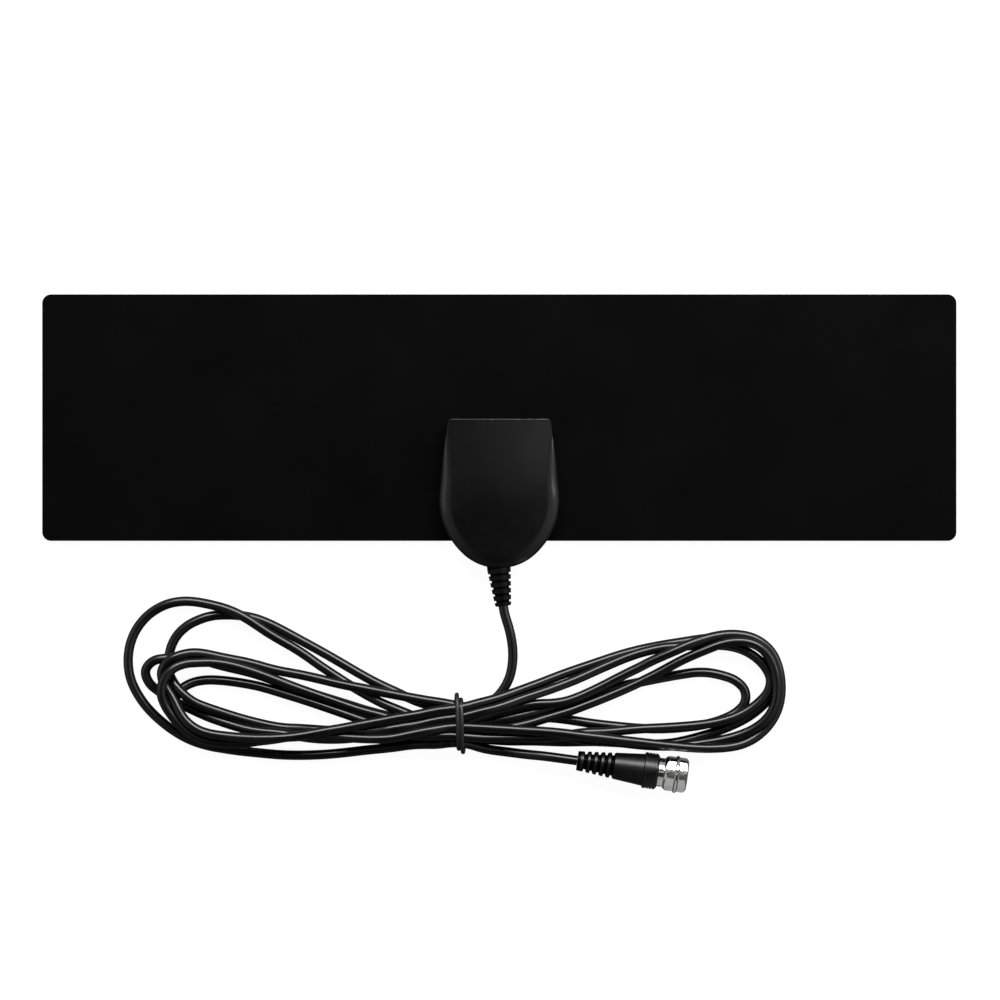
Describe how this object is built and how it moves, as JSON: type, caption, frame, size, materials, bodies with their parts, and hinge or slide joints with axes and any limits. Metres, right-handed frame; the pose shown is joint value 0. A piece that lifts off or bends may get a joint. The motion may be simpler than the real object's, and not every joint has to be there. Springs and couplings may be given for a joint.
{
  "type": "flat indoor television antenna",
  "caption": "Thin flat indoor television antenna: black laminated sheet, gloss junction housing with strain relief, folded coaxial lead held by a wire tie, screw-on plug.",
  "frame": {"origin": "centre of the sheet and housing seen from the front, at the level of the housing's back, on the surface the antenna lies on", "axes": "+X along the sheet's long side to the right, +Y from the cable end of the housing towards the sheet's far edge, +Z out of the front face"},
  "size_m": [0.33, 0.1796, 0.0134],
  "materials": {
    "film": "fine matte black film",
    "foil": "thin printed foil",
    "housing": "gloss black moulding",
    "screw": "plated steel",
    "board": "green solder mask",
    "contact": "tinned brass",
    "ferrite": "dark grey ferrite",
    "enamel_wire": "enamelled copper",
    "chip": "ceramic",
    "braid": "tinned braid",
    "dielectric": "white polyethylene",
    "copper": "bare copper",
    "relief": "satin black flexible moulding",
    "cable": "smooth black jacket",
    "tie": "black coated wire",
    "boot": "satin black moulding",
    "nickel": "nickel plate"
  },
  "bodies": {
    "antenna": {"front_film": "film", "rear_film": "film", "left_element": "foil", "right_element": "foil", "front_cover": "housing", "rear_cover": "housing", "cover_screws": "screw", "circuit_board": "board", "feed_pins": "contact", "balun_core": "ferrite", "balun_winding": "enamel_wire", "chip_components": "chip", "braid_clamp": "contact", "signal_post": "contact", "cable_braid": "braid", "cable_dielectric": "dielectric", "inner_conductor": "copper", "strain_relief": "relief", "cable_entry": "cable", "cable_lead": "cable", "cable_hank": "cable", "cable_tail": "cable", "cable_tie": "tie", "plug_boot": "boot", "cable_plug_end": "cable", "plug_body": "nickel", "plug_insulator": "dielectric", "centre_pin": "copper"},
    "coupling_nut": {"coupling_nut": "nickel"}
  },
  "joints": [
    {"name": "nut_spin", "type": "hinge", "parent": "antenna", "child": "coupling_nut", "pos_m": [0.06376, -0.12378, 0.00675], "axis": [0.9905, -0.1374, 0], "continuous": true}
  ]
}
